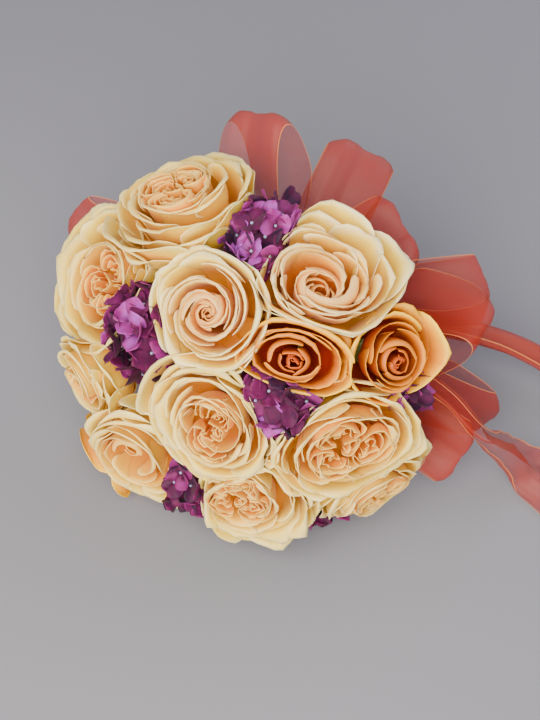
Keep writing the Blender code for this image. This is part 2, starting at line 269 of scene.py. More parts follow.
def blank(add, **settings):
    """Points and faces of a plain shape, which is then taken out of the scene again."""
    deselect()
    add(**settings)
    made = bpy.context.object
    points = np.array([vertex.co[:] for vertex in made.data.vertices])
    faces = [list(face.vertices) for face in made.data.polygons]
    bpy.data.objects.remove(made)
    return points, faces


# One flat petal blank, a grid that every petal is bent from
PETAL_ACROSS, PETAL_ALONG = 16, 14
blank_points, blank_faces = blank(
    bpy.ops.mesh.primitive_grid_add, x_subdivisions=PETAL_ACROSS, y_subdivisions=PETAL_ALONG, size=2.0,
)
BLANK_U = np.sin(blank_points[:, 0] * math.pi / 2)     # columns closer together at the sides
BLANK_V = (blank_points[:, 1] + 1) / 2
BLANK_FACES = np.array(blank_faces)
GRID = (PETAL_ALONG + 1, PETAL_ACROSS + 1)


def smooth_route(route, share):
    """Places on a smooth curve through the route's points, at shares from 0 to 1."""
    points = np.array([2 * np.array(route[0]) - route[1], *route, 2 * np.array(route[-1]) - route[-2]])
    spans = len(route) - 1
    at = np.clip(share, 0, 1) * spans
    i = np.minimum(at.astype(int), spans - 1)
    t = (at - i)[:, None]
    a, b, c, d = (points[i + k] for k in range(4))
    return 0.5 * (2 * b + (c - a) * t + (2 * a - 5 * b + 4 * c - d) * t**2 + (3 * b - a - 3 * c + d) * t**3)


CLAW_WIDTH, FULL_WIDTH_AT = 0.22, 0.62     # width at the foot, and how far up it is full
TIGHTEST_ROLL = 0.0012


def petal_shape(clock, route, half_width, dice, drop, ruffle, rumple, waves=(2.5, 5.0), wrap=1.0,
                spiral=0.0, curl=0.0, point=0.0, notch=0.0, lean=0.0, sway=0.0):
    """A bent petal in its head's own axes.

    route is (distance from the head's axis, height) from foot to rim. wrap is the roundness
    across as a share of that distance, drop how far the rim falls at the sides, spiral how
    fast the petal winds outwards, curl how far its edges roll out, ruffle and rumple the
    waves of its rim and the dents of its blade, waves how many there are, point how far its
    rim draws to a tip, and notch the depth of the nicks in its rim.
    """
    u, v = BLANK_U, BLANK_V
    rim = 1 - drop * (1 - np.sqrt(np.clip(1 - np.abs(u) ** 2.3, 0, 1))) - point * np.abs(u) ** 0.8
    rim = rim - notch * (np.sin(dice.uniform(5, 9) * u + dice.uniform(0, 6.3)) + 1) / 2
    share = v * rim
    path = smooth_route(route, share)
    distance, height = path[:, 0], path[:, 1]
    widening = np.sin(np.minimum(share / FULL_WIDTH_AT, 1) * math.pi / 2) ** 1.2
    width = half_width * (CLAW_WIDTH + (1 - CLAW_WIDTH) * widening)
    round_ = np.maximum(distance * wrap, TIGHTEST_ROLL)
    turn = u * width / round_
    away = distance - round_ + round_ * np.cos(turn)
    aside = round_ * np.sin(turn)
    grow = np.exp(spiral * np.clip(turn, -3, 3))
    shape = np.stack([away * grow, aside * grow, height], axis=1).reshape(*GRID, 3)
    along, beside = np.gradient(shape, axis=(0, 1))
    normal = np.cross(beside, along)
    normal /= np.maximum(np.linalg.norm(normal, axis=2, keepdims=True), 1e-9)
    normal = normal.reshape(-1, 3)
    count, phase = dice.uniform(*waves), dice.uniform(0, 6.3)
    outward = curl * np.abs(u) ** 3 * v**2
    outward = outward + ruffle * v**3 * np.sin(count * u + phase)
    outward = outward + ruffle * 0.45 * v**5 * np.sin(count * 2.6 * u - 2 * phase)
    for _ in range(3):
        tilt, size, phase = dice.uniform(0, 3.14), dice.uniform(2.5, 6.0), dice.uniform(0, 6.3)
        dented_along = u * math.cos(tilt) + 2 * v * math.sin(tilt)
        outward = outward + rumple / 2 * v * np.sin(size * dented_along + phase)
    shape = shape.reshape(-1, 3) + normal * outward[:, None]
    shape = turned(shape, 0, 2, lean)
    shape = turned(shape, 1, 2, sway)
    return turned(shape, 1, 0, math.radians(clock))


def turned(points, first, second, angle):
    """Points turned in the plane of two of their axes."""
    made = points.copy()
    made[:, first] = points[:, first] * math.cos(angle) + points[:, second] * math.sin(angle)
    made[:, second] = points[:, second] * math.cos(angle) - points[:, first] * math.sin(angle)
    return made


def mesh_piece(name, points, faces, values):
    """A smooth piece from points and faces, with a number for each point under each title."""
    mesh = bpy.data.meshes.new(name)
    mesh.from_pydata(np.asarray(points).tolist(), [], faces)
    for title, numbers in values.items():
        mesh.attributes.new(title, "FLOAT", "POINT").data.foreach_set("value", numbers)
    mesh.shade_smooth()
    piece = bpy.data.objects.new(name, mesh)
    bpy.context.scene.collection.objects.link(piece)
    return piece


def solidified(piece, thickness):
    """The sheet given its real thickness, half of it to each side."""
    wall = piece.modifiers.new("wall", "SOLIDIFY")
    wall.thickness = thickness
    wall.offset = 0.0
    deselect()
    bpy.context.view_layer.objects.active = piece
    piece.select_set(True)
    bpy.ops.object.modifier_apply(modifier="wall")


def on_the_body(piece, replaced):
    """The piece rides the posy's one body, in place of this part of the model."""
    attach(piece, "root")
    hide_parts(replaced)


PETAL_THICKNESS = 0.00032


def petals_piece(name, flower, shapes, hearts, give):
    """Bent petals joined into one piece on a head, with a colour share for each."""
    base, across, rise, facing = (np.array(v) for v in head_axes(flower))
    axes = np.stack([across, rise, facing])
    points, faces, tints, tones = [], [], [], []
    dice = random.Random(name)
    for i, (shape, heart) in enumerate(zip(shapes, hearts)):
        points.append(pressed(base + shape @ axes, flower, give))
        faces.append(BLANK_FACES + i * len(BLANK_U))
        tints += [heart] * len(BLANK_U)
        tones += [dice.random()] * len(BLANK_U)
    piece = mesh_piece(
        name, np.concatenate(points), np.concatenate(faces).tolist(), {"heart": tints, "tone": tones},
    )
    corners = np.zeros(len(piece.data.loops), int)
    piece.data.loops.foreach_get("vertex_index", corners)
    on_blank = corners % len(BLANK_U)
    uv = np.stack([BLANK_U[on_blank] / 2 + 0.5, BLANK_V[on_blank]], axis=1)
    piece.data.uv_layers.new(name="petal").data.foreach_set("uv", uv.ravel())
    solidified(piece, PETAL_THICKNESS)
    return piece


# Rose petal: thin, matt and a little velvety, lit through from behind. Colour is deepest at the
# claw and in the heart, partly the petal's own pigment and partly painted warm shade for the
# crevices deep in the bloom, and fades to a pale rim. Colour drifts in patches 17 mm across,
# and fine veins run from the claw, some seventy to a petal or about 0.6 mm apart.

def maths(tree, operation, *values):
    return node(tree, "Math", {"operation": operation}, **{f"_{i}": v for i, v in enumerate(values)})


def mixed(tree, share, first, second):
    """The first colour, going over to the second with the share."""
    return node(tree, "Mix", {"data_type": "RGBA"}, _0=share, _6=first, _7=second).outputs[2]


def colour_ramp(tree, share, *stops):
    """Colours along a share, from stops of position and hex colour."""
    made = node(tree, "ValToRGB", Fac=share)
    elements = made.color_ramp.elements
    for element, (position, colour) in zip(elements, (stops[0], stops[-1])):
        element.position, element.color = position, srgb(colour)
    for position, colour in stops[1:-1]:
        elements.new(position).color = srgb(colour)
    return made


def grain(tree, per_metre, detail):
    """Noise all through a piece, with this many spots to a metre."""
    where = node(tree, "TexCoord").outputs["Object"]
    return node(tree, "TexNoise", Vector=where, Scale=per_metre, Detail=detail)


def carried(tree, title):
    """The number that a piece carries at each of its points under this title."""
    return node(tree, "Attribute", {"attribute_name": title}).outputs["Fac"]


def petal_material(name, claw, blade, rim, heart, heart_rim, lit_through=0.45, velvet=0.15):
    made, tree, shader = new_material(
        name, Roughness=0.55, Subsurface_Weight=lit_through, Subsurface_Scale=0.005,
        Subsurface_Radius=(1.0, 0.75, 0.35), Sheen_Weight=velvet, Sheen_Roughness=0.4,
    )
    uv = node(tree, "UVMap", {"uv_map": "petal"})
    split = node(tree, "SeparateXYZ", Vector=uv)
    shift = maths(tree, "MULTIPLY_ADD", grain(tree, 60.0, 3.0), 0.22, -0.11)
    along = maths(tree, "ADD", split.outputs["Y"], shift)
    # The deep claw and heart colours are partly the petal's own pigment and partly painted warm shade for
    # the crevices deep in the bloom.
    outer_colour = colour_ramp(tree, along, (0.30, claw), (0.70, blade), (0.97, rim))
    heart_colour = colour_ramp(tree, along, (0.30, heart), (0.70, heart), (0.97, heart_rim))
    colour = mixed(tree, carried(tree, "heart"), outer_colour, heart_colour)
    lightness = node(tree, "MapRange", Value=carried(tree, "tone"), To_Min=0.90, To_Max=1.06)
    varied = node(tree, "HueSaturation", Value=lightness, Color=colour)
    veins_at = node(tree, "Mapping", Vector=uv, Scale=(70.0, 2.5, 1.0))
    veins = node(tree, "TexNoise", Vector=veins_at, Scale=1.0, Detail=2.0)
    bump = node(tree, "Bump", Height=veins, Strength=0.25, Distance=0.0004)
    connect(tree, shader, Base_Color=varied, Normal=bump)
    return made


cream_petal = petal_material(
    "cream_rose_petal", "#F0A01E", "#F8D24A", "#FFF2B4", "#D84C00", "#EE9426",
)
golden_petal = petal_material(
    "golden_cream_rose_petal", "#EE9C1C", "#F6CC40", "#FFEC9A", "#E6780C", "#F4B642",
)
orange_petal = petal_material(
    "orange_rose_petal", "#BC3600", "#F09A08", "#FFCC24", "#7E0C00", "#BE3A00",
    lit_through=0.15, velvet=0.0,
)


def oval(shape, stretch, clock):
    """A head's shape drawn out along one direction across it, and narrowed across that."""
    angle = math.radians(clock)
    along = np.array([math.cos(angle), math.sin(angle)])
    share = shape[:, :2] @ along
    flat = shape[:, :2] / stretch**0.5 + np.outer(share * (stretch - 1 / stretch**0.5), along)
    return np.column_stack([flat, shape[:, 2]])


def rolled_petal(clock, reach, top, style, dice):
    """Wound round the axis in the heart, with a rounded shoulder and its rim drawn in."""
    shoulder = reach + style["shoulder"]
    route = (
        (style["foot"] * reach, 0.30 * top), (0.90 * shoulder, 0.68 * top), (shoulder, 0.86 * top),
        (shoulder * 0.98, 0.96 * top), (reach * style["closing"], top),
    )
    return petal_shape(
        clock, route, style["heart_turn"] * reach * dice.uniform(0.9, 1.1), dice,
        drop=0.22, spiral=style["wind"], ruffle=style["ruffle"] * 0.6, rumple=0.0003, notch=0.02,
        lean=style["loose"] * dice.uniform(-0.05, 0.05), sway=style["loose"] * dice.uniform(-0.05, 0.05),
    )


def cup_petal(clock, reach, top, style, dice):
    """Cupped round the heart, with its rim rolled out."""
    roll = style["roll"] * (0.0002 + 0.11 * reach) * dice.uniform(0.4, 1.5)
    route = (
        (0.30 * reach, 0.25 * top), (reach * 0.84, 0.58 * top), (reach * 0.95, 0.87 * top),
        (reach * 0.98 + roll * 0.30, top * 0.985), (reach * 0.98 + roll, top * dice.uniform(0.965, 1.0)),
    )
    return petal_shape(
        clock, route, min(2.2 * reach, 0.030) * dice.uniform(0.92, 1.12), dice, wrap=style["cup_wrap"],
        drop=0.50, spiral=style["wind"], curl=0.0010, ruffle=style["ruffle"], rumple=style["rumple"],
        point=dice.uniform(0.0, 0.06), notch=style["notch"], lean=style["loose"] * dice.uniform(-0.06, 0.12),
        sway=style["loose"] * dice.uniform(-0.10, 0.10),
    )


def outer_petal(clock, reach, top, style, dice):
    """Broad and open, with its rim bent well over."""
    roll = style["roll"] * dice.uniform(0.004, 0.012)
    route = (
        (0.25 * reach, 0.08 * top), (reach * 0.74, 0.38 * top), (reach * 0.90, 0.76 * top),
        (reach * 0.96 + roll * 0.30, top * 0.95), (reach * 0.96 + roll, top * dice.uniform(0.86, 0.97)),
    )
    return petal_shape(
        clock, route, dice.uniform(0.65, 0.80) * min(reach, 0.042), dice, wrap=1.10,
        drop=0.48, spiral=style["wind"] * 0.7, curl=dice.uniform(0.001, 0.004), ruffle=style["ruffle"] * 1.4,
        waves=(2.0, 4.5), rumple=style["rumple"] * 1.4, point=dice.uniform(0.0, style["pointed"]),
        notch=style["notch"], lean=dice.uniform(-0.03, 0.05) * (1 + style["loose"]),
        sway=dice.uniform(-0.06, 0.06) * (1 + style["loose"]),
    )


def guard_petal(clock, reach, top, width, style, dice):
    """The broad smooth petal that still folds round the rose, its rim rolled over at the top."""
    roll = style["guard_roll"]
    route = (
        (0.30 * reach, 0.06 * top), (reach * 0.80, 0.36 * top), (reach * 0.95, 0.76 * top),
        (reach * 0.99 + roll * 0.30, top * 0.965), (reach * 0.99 + roll, top * 0.955),
    )
    return petal_shape(
        clock, route, width * reach, dice, wrap=style["guard_wrap"], drop=style["guard_drop"], curl=0.002,
        ruffle=0.0012, waves=(1.5, 3.0), rumple=0.0012, point=style["pointed"], notch=0.012,
    )


LOBES_PRESSED_FROM = 0.5    # share of the way to the wall between two lobes


def folded_heart(radius, height, style, dice):
    """A quartered heart: small petals nested in lobes that press on each other."""
    lobes, spread, size = style["lobes"], style["lobe_spread"] * radius, style["lobe_size"] * radius
    start = dice.uniform(0, 360)
    middles = [np.zeros(2)]
    for i in range(lobes):
        angle = math.radians(start + 360 * i / lobes + dice.uniform(-15, 15))
        out = spread * dice.uniform(0.8, 1.15)
        middles.append(np.array([math.cos(angle), math.sin(angle)]) * out)
    shapes = []
    for i, middle in enumerate(middles):
        clock = math.degrees(math.atan2(middle[1], middle[0]))
        nests = style["nest"] if i else 3
        for nest in range(nests):
            reach = size * (nest + 0.7) / style["nest"]
            low = height * (1 - style["sunk"] * dice.uniform(0.5, 1.2) * (1 - nest / style["nest"]))
            route = (
                (reach * 0.6, 0.50 * low), (reach * 1.05, 0.76 * low), (reach * 1.15, 0.88 * low),
                (reach * 1.12, 0.96 * low), (reach * 1.14, low),
            )
            shape = petal_shape(
                clock + dice.uniform(-25, 25), route, 2.3 * reach * dice.uniform(0.9, 1.1), dice,
                drop=0.12, spiral=0.10, ruffle=style["ruffle"] * 0.9, waves=(4, 9), rumple=0.0005,
            )
            flat = shape[:, :2]
            for j, other in enumerate(middles):
                offset = other - middle
                length = np.linalg.norm(offset)
                if j == i or length < 1e-6:
                    continue
                share = flat @ (offset / length) / (length / 2)
                flat = flat * squeeze(share, LOBES_PRESSED_FROM, 1.0)
            shape[:, :2] = flat + middle
            shapes.append(shape)
    return shapes


GOLDEN_ANGLE = 137.5


def open_rose(rose, style, look):
    """Petals of one rose from the rolled heart out to the broad outer petals."""
    dice = random.Random(style.get("seed", rose))
    _, _, radius, height, _ = FLOWERS[rose]
    clock = dice.uniform(0, 360)
    stretch, stretch_clock = style.get("oval", (1.0, 0.0))
    heart_shift = np.array(style.get("heart_at", (0.0, 0.0))) * radius
    groups = {kind: ([], []) for kind in ("heart", "cup_petals", "outer_petals", "guard_petals")}
    if style["lobes"]:
        shapes = folded_heart(radius, height, style, dice)
        for shape in shapes:
            shape[:, :2] += heart_shift * 0.75
        groups["heart"] = ([oval(shape, stretch, stretch_clock) for shape in shapes], [0.8] * len(shapes))
    for kind, count, first, last in style["rows"]:
        for i in range(count):
            clock += GOLDEN_ANGLE + dice.uniform(-8, 8)
            out = first * (last / first) ** (i / max(count - 1, 1))
            reach = radius * out * dice.uniform(1 - 0.06 * style["loose"], 1 + 0.06 * style["loose"])
            top = height * (1.0 - style["fall"] * out**2.2 - style["sunk"] * max(0, 1 - out / 0.45) ** 1.5)
            make = {"heart": rolled_petal, "cup_petals": cup_petal, "outer_petals": outer_petal}[kind]
            shape = make(clock, reach, top, style, dice)
            shape[:, :2] += heart_shift * max(0.0, 1 - out)
            groups[kind][0].append(oval(shape, stretch, stretch_clock))
            groups[kind][1].append(max(0.0, 1 - out * style["fade"]))
    for guard_clock, out, share, width in style["guards"]:
        shape = guard_petal(guard_clock, radius * out, height * share, width, style, dice)
        groups["guard_petals"][0].append(oval(shape, stretch, stretch_clock))
        groups["guard_petals"][1].append(0.0)
    to_rise, to_side = (math.radians(angle) for angle in style.get("tilt", (0, 0)))
    hub = np.array([0.0, 0.0, height * HEAD_MIDDLE])
    for kind, (shapes, hearts) in groups.items():
        if not shapes:
            continue
        shapes = [turned(turned(shape - hub, 1, 2, to_rise), 0, 2, to_side) + hub for shape in shapes]
        give = style["guard_give" if kind == "guard_petals" else "give"]
        piece = petals_piece(f"{rose}_{kind}", rose, shapes, hearts, give)
        piece.data.materials.append(look)
        on_the_body(piece, rose + "_petals")


# How a head is grown. Rows are the kind of petal, how many, and the first and last one's share
# of the radius. Guards, the broad petals outside them, are a clock angle, shares of radius and
# height, and a width. lobes make a folded heart in place of the rolled one. fall and sunk lower
# the outside and the middle, wind is how fast a petal spirals out, closing how far the heart is
# drawn in, roll and ruffle shape the rims, loose is disorder, give how far a head may bulge
# past its walls, fade how fast the heart's colour is lost. heart_at, tilt and oval set the
# heart aside, lean the head and draw it out. seed starts its random draws, in place of its name.
SPIRAL = dict(
    rows=(("heart", 7, 0.03, 0.26), ("cup_petals", 12, 0.31, 0.74), ("outer_petals", 13, 0.77, 1.12)),
    lobes=0, fall=0.22, sunk=0.18, closing=0.75, heart_turn=1.9, shoulder=0.0009, foot=0.40,
    wind=0.18, cup_wrap=1.0, roll=1.0, ruffle=0.0007, rumple=0.0007, pointed=0.15, notch=0.02,
    loose=0.35, fade=1.4, give=0.16,
    guards=(), guard_wrap=1.15, guard_roll=0.005, guard_drop=0.42, guard_give=1.0,
)
FOLDED = dict(
    SPIRAL, rows=(("cup_petals", 11, 0.42, 0.76), ("outer_petals", 13, 0.78, 1.14)),
    lobes=3, lobe_spread=0.19, lobe_size=0.27, nest=4, sunk=0.10, wind=0.10, cup_wrap=0.9,
    roll=0.8, ruffle=0.0015, rumple=0.0012, pointed=0.2, notch=0.035, loose=1.0, give=0.26,
)
BOWL = dict(
    SPIRAL, sunk=0.40, ruffle=0.0009, cup_wrap=1.1, loose=0.7, give=0.26,
    rows=(("heart", 7, 0.05, 0.22), ("cup_petals", 9, 0.36, 0.76), ("outer_petals", 12, 0.80, 1.14)),
)
CLOSED = dict(
    SPIRAL, sunk=0.04, fall=0.30, closing=0.84, heart_turn=1.4, foot=0.05, wind=0.03,
    ruffle=0.0011, loose=0.9, give=0.24, pointed=0.10, guard_give=0.55, fade=0.75,
    rows=(("heart", 10, 0.05, 0.42), ("cup_petals", 4, 0.47, 0.62), ("outer_petals", 5, 0.82, 1.02)),
)
STYLES = {
    "rose_01": dict(
        SPIRAL, give=0.30, guards=((200, 1.05, 0.80, 0.7),),
        rows=(("heart", 10, 0.03, 0.28), ("cup_petals", 12, 0.31, 0.74), ("outer_petals", 13, 0.77, 1.12)),
    ),
    "rose_02": dict(
        SPIRAL, ruffle=0.0016, pointed=0.45, notch=0.045, sunk=0.28, give=0.22, loose=0.8,
        heart_at=(0.08, -0.42), tilt=(14, 0), oval=(1.16, 0),
        rows=(("heart", 13, 0.04, 0.30), ("cup_petals", 13, 0.33, 0.74), ("outer_petals", 12, 0.77, 1.12)),
    ),
    "rose_03": dict(
        FOLDED, nest=5, lobe_spread=0.20, loose=0.6, oval=(1.18, 0), tilt=(14, 0),
        guards=((235, 1.10, 0.82, 0.7), (265, 1.08, 0.80, 0.7)),
    ),
    "rose_04": dict(
        FOLDED, give=0.36, heart_at=(0.42, 0.0), tilt=(0, 20),
        rows=(("cup_petals", 9, 0.42, 0.78), ("outer_petals", 12, 0.80, 1.14)),
        guards=((-15, 1.05, 0.98, 0.8), (-62, 1.05, 0.95, 0.8)),
    ),
    "rose_05": dict(
        BOWL, sunk=0.2, give=0.45, tilt=(-12, 12),
        guards=((-15, 1.25, 0.95, 0.7), (-60, 1.2, 0.9, 0.7)),
    ),
    "rose_06": dict(
        FOLDED, lobes=2, give=0.44, heart_at=(0.10, 0.10), oval=(1.10, -45),
        guards=((152, 1.20, 0.86, 0.9),),
    ),
    "rose_07": dict(
        BOWL, give=0.60, heart_at=(-0.36, 0.25), tilt=(8, 16), guards=((80, 1.15, 0.80, 0.7),),
    ),
    "rose_08": dict(FOLDED, ruffle=0.002, heart_at=(-0.25, 0.32), tilt=(8, 0)),
    "rose_09": dict(
        FOLDED, lobe_spread=0.22, ruffle=0.002, give=0.44, heart_at=(-0.12, 0.12), oval=(1.20, 30),
    ),
    "rose_11": dict(
        CLOSED, guard_wrap=1.45, guard_drop=0.25, oval=(1.20, 5),
        guards=((95, 0.72, 0.99, 1.6), (275, 0.76, 0.96, 1.6)),
    ),
    "rose_12": dict(
        CLOSED, seed="rose_12b", pointed=0.30, guard_wrap=1.1, guard_drop=0.35,
        guards=(
            (112, 0.80, 0.90, 1.1), (262, 0.88, 0.92, 1.0), (185, 0.92, 0.94, 1.1), (15, 1.00, 1.00, 1.1),
        ),
    ),
    "rose_13": dict(
        CLOSED, guards=((0, 0.80, 0.95, 1.1), (125, 0.88, 0.95, 1.1), (245, 0.94, 0.95, 1.1)),
    ),
}
LOOKS = {
    "rose_01": cream_petal, "rose_02": cream_petal,
    "rose_11": orange_petal, "rose_12": orange_petal, "rose_13": orange_petal,
}
for rose in ROSES:
    open_rose(rose, STYLES.get(rose, FOLDED), LOOKS.get(rose, golden_petal))


# Hydrangea: a mophead of small flowers, each four broad crumpled sepals round a pale bead on a
# thin stalk. Every flower is bent afresh and set on the dome of its sprig, and the crowd of
# them is squeezed by the roses round it.

SEPAL_LONG, SEPAL_HALF_WIDTH, SEPAL_THICKNESS = 0.0105, 0.0062, 0.00025
SEPAL_CELLS = 7
FLOWER_SEPALS = 4
SEPAL_LAP = 0.0003      # each of a flower's sepals lies this far over the one before
BEAD_RADIUS, BEAD_HEIGHT = 0.0009, 0.0014
SEPAL_POINTS, SEPAL_FACES = blank(
    bpy.ops.mesh.primitive_grid_add, x_subdivisions=SEPAL_CELLS, y_subdivisions=SEPAL_CELLS, size=2.0,
)
BEAD_POINTS, BEAD_FACES = blank(bpy.ops.mesh.primitive_ico_sphere_add, subdivisions=2, radius=BEAD_RADIUS)


def sepal_shape(clock, lift, dice):
    """One crumpled sepal of a flower that faces +Z."""
    u, v = SEPAL_POINTS[:, 0], (SEPAL_POINTS[:, 1] + 1) / 2
    v = v * (1 - 0.30 * np.abs(u) ** 2)
    out = 0.0006 + SEPAL_LONG * v
    aside = SEPAL_HALF_WIDTH * u * np.sin(math.pi * (0.10 + 0.72 * v)) ** 0.7
    cup, fold = dice.uniform(-1.2, 1.2), dice.uniform(-0.75, 0.75)
    height = lift * out + cup * 0.0022 * v**2 - fold * np.abs(aside)
    height = height + 0.0009 * v * np.sin(dice.uniform(2, 5) * u + dice.uniform(0, 6) + 3 * v)
    shape = np.stack([out, aside, height], axis=1)
    return turned(shape, 1, 0, math.radians(clock))


def hydrangea_flower(dice):
    """Points, faces and colour shares of one flower: 0 to 1 on the sepals, 2 on its bead."""
    points, faces, marks, start = [], [], [], 0
    part = 360 / FLOWER_SEPALS
    turn = dice.uniform(0, part)
    for i in range(FLOWER_SEPALS):
        shape = sepal_shape(turn + part * i + dice.uniform(-12, 12), dice.uniform(-0.10, 0.90), dice)
        shape[:, 2] += SEPAL_LAP * i
        points.append(shape)
        faces += [[start + corner for corner in face] for face in SEPAL_FACES]
        marks.append(np.clip((SEPAL_POINTS[:, 1] + 1) / 2, 0, 1))
        start += len(shape)
    points.append(BEAD_POINTS + np.array([0, 0, BEAD_HEIGHT]))
    faces += [[start + corner for corner in face] for face in BEAD_FACES]
    marks.append(np.full(len(BEAD_POINTS), 2.0))
    return np.concatenate(points), faces, np.concatenate(marks)


def tube(points, radii, sides):
    """Points and faces of a closed round tube through these places."""
    made, faces = [], []
    for i, place in enumerate(points):
        run = (points[min(i + 1, len(points) - 1)] - points[max(i - 1, 0)]).normalized()
        side = run.orthogonal() if i == 0 else side - run * side.dot(run)
        side = side.normalized()
        other = run.cross(side)
        for j in range(sides):
            angle = 2 * math.pi * j / sides
            made.append(place + (side * math.cos(angle) + other * math.sin(angle)) * radii[i])
    for i in range(len(points) - 1):
        for j in range(sides):
            low, high = i * sides, (i + 1) * sides
            faces.append([low + j, low + (j + 1) % sides, high + (j + 1) % sides, high + j])
    faces.append(list(range(sides - 1, -1, -1)))
    faces.append(list(range((len(points) - 1) * sides, len(points) * sides)))
    return [tuple(point) for point in made], faces


def hydrangea_sepal_material():
    """Hydrangea sepal: soft and satin, plum to lilac in patches about 8 mm across."""
    made, tree, shader = new_material(
        "hydrangea_sepal", Roughness=0.6, Subsurface_Weight=0.12, Subsurface_Scale=0.002,
        Specular_IOR_Level=0.25, Sheen_Weight=0.05,
    )
    patches = maths(tree, "MULTIPLY_ADD", grain(tree, 130.0, 3.0), 0.7, -0.35)
    share = maths(tree, "ADD", carried(tree, "tone"), patches)
    sepal = colour_ramp(
        tree, share, (0.05, "#22002C"), (0.45, "#580848"), (0.80, "#8A2884"), (1.0, "#9C48B8"),
    )
    mark = carried(tree, "mark")
    off_the_throat = node(tree, "MapRange", Value=mark, From_Min=0.0, From_Max=0.5)
    sepal = mixed(tree, off_the_throat, srgb("#440638"), sepal)
    is_bead = maths(tree, "GREATER_THAN", mark, 1.5)
    connect(tree, shader, Base_Color=mixed(tree, is_bead, sepal, srgb("#9298C8")))
    return made


hydrangea_sepal = hydrangea_sepal_material()
FLOWER_SPACING = 0.0131     # between the middles of neighbouring hydrangea flowers
DOME_SPAN = 1.15        # 1 stops the flowers at the dome's edge, more carries them under it
DOME_OUT, DOME_LOW, DOME_RISE = 0.86, 0.42, 0.50    # the dome, in shares of radius and height
SPRIG_GIVE = 0.10       # how far a sprig bulges past its walls
STALK_RADII, STALK_SAG, STALK_SIDES = (0.0006, 0.0005, 0.0004), 0.002, 5


def hydrangea_sprig(sprig, sepal_look, stalk_look):
    """Flowers in golden-angle order over the dome of a sprig, each on its own stalk."""
    dice = random.Random(sprig)
    _, _, radius, height, _ = FLOWERS[sprig]
    base, across, rise, facing = head_axes(sprig)
    axes = np.array([across, rise, facing])
    count = int(2 * math.pi * radius * height / FLOWER_SPACING**2)
    points, faces, tones, marks = [], [], [], []
    stalk_points, stalk_faces = [], []
    for i in range(count):
        share = (i + 0.5) / count
        tip = math.acos(1 - DOME_SPAN * share)
        turn = i * math.radians(GOLDEN_ANGLE) + dice.uniform(-0.2, 0.2)
        out = Vector((math.sin(tip) * math.cos(turn), math.sin(tip) * math.sin(turn), math.cos(tip)))
        wide = radius * DOME_OUT
        place = Vector((out.x * wide, out.y * wide, height * (DOME_LOW + DOME_RISE * out.z)))
        place *= dice.uniform(0.93, 1.03)
        out += Vector((dice.uniform(-0.7, 0.7), dice.uniform(-0.7, 0.7), dice.uniform(0, 0.4)))
        out.normalize()
        side = out.orthogonal().normalized()
        turned_to = np.array([side, out.cross(side), out])
        flower, flower_faces, flower_marks = hydrangea_flower(dice)
        flower = flower * dice.uniform(0.88, 1.12) @ turned_to + np.array(place)
        start = sum(len(made) for made in points)
        points.append(pressed(np.array(base) + flower @ axes, sprig, SPRIG_GIVE))
        faces += [[start + corner for corner in face] for face in flower_faces]
        tones += [dice.random()] * len(flower)
        marks.append(flower_marks)
        foot = base + facing * (height * 0.10)
        head = Vector(pressed(np.array(base)[None] + np.array([place]) @ axes, sprig, SPRIG_GIVE)[0])
        sagging = foot.lerp(head, 0.5) - facing * STALK_SAG
        stalk, rings = tube([foot, sagging, head], STALK_RADII, STALK_SIDES)
        start = len(stalk_points)
        stalk_points += stalk
        stalk_faces += [[start + corner for corner in ring] for ring in rings]
    piece = mesh_piece(
        sprig + "_sepals", np.concatenate(points), faces,
        {"tone": tones, "mark": np.concatenate(marks).tolist()},
    )
    solidified(piece, SEPAL_THICKNESS)
    piece.data.materials.append(sepal_look)
    stalks = mesh_piece(sprig + "_stalks", stalk_points, stalk_faces, {})
    stalks.data.materials.append(stalk_look)
    on_the_body(piece, sprig + "_florets")
    on_the_body(stalks, sprig + "_florets")


def stem_material():
    """Fresh stem: waxy green skin, paler in patches about 22 mm long, with pores 1 mm apart."""
    made, tree, shader = new_material("rose_stem_skin", Roughness=0.42, Specular_IOR_Level=0.45)
    skin = colour_ramp(tree, grain(tree, 45.0, 4.0), (0.3, "#4F7434"), (0.75, "#8FA65A"))
    bump = node(tree, "Bump", Height=grain(tree, 900.0, 2.0), Strength=0.25, Distance=0.0002)
    connect(tree, shader, Base_Color=skin, Normal=bump)
    return made


stem_skin = stem_material()
for sprig in SPRIGS:
    hydrangea_sprig(sprig, hydrangea_sepal, stem_skin)


# Stems: straight through the handle, fanned out above it and thickened at the hip under each
# rose, with leaf scars where the florist has stripped them. Cut square at the foot.

STEM_RADIUS, SPRIG_RADIUS, STEM_PITCH = 0.0030, 0.0022, 0.0063
OUTER_STEMS = 13
OUTER_RING = OUTER_STEMS * STEM_PITCH / (2 * math.pi)
BUNDLE_RADIUS = OUTER_RING + STEM_RADIUS
INNER_TURN = 40
FAN_START, CUT_END = -0.060, -0.155
HIP_RADIUS, HIP_LENGTH, BEND_PULL = 0.0050, 0.010, 0.9
HIP_FULL_AT, HIP_DRAWN_IN = 0.6, 0.25   # where a hip is fullest, and how far it narrows above
GAP = 0.0003
CENTRE_STEM = "rose_06"
INNER_RING_STEMS = ("hydrangea_3", "rose_11", "rose_01", "hydrangea_1", "rose_08", "rose_09")
STEM_SIDES, STEM_STEPS = 14, 16
CHAMFER = 0.0003
SCAR_SWELL, SCAR_EVERY = 1.08, 7    # a leaf scar's radius in stem radii, and rings between scars


def hermite(start, start_pull, end, end_pull, t):
    return (
        start * (2 * t**3 - 3 * t**2 + 1) + start_pull * (t**3 - 2 * t**2 + t)
        + end * (3 * t**2 - 2 * t**3) + end_pull * (t**3 - t**2)
    )


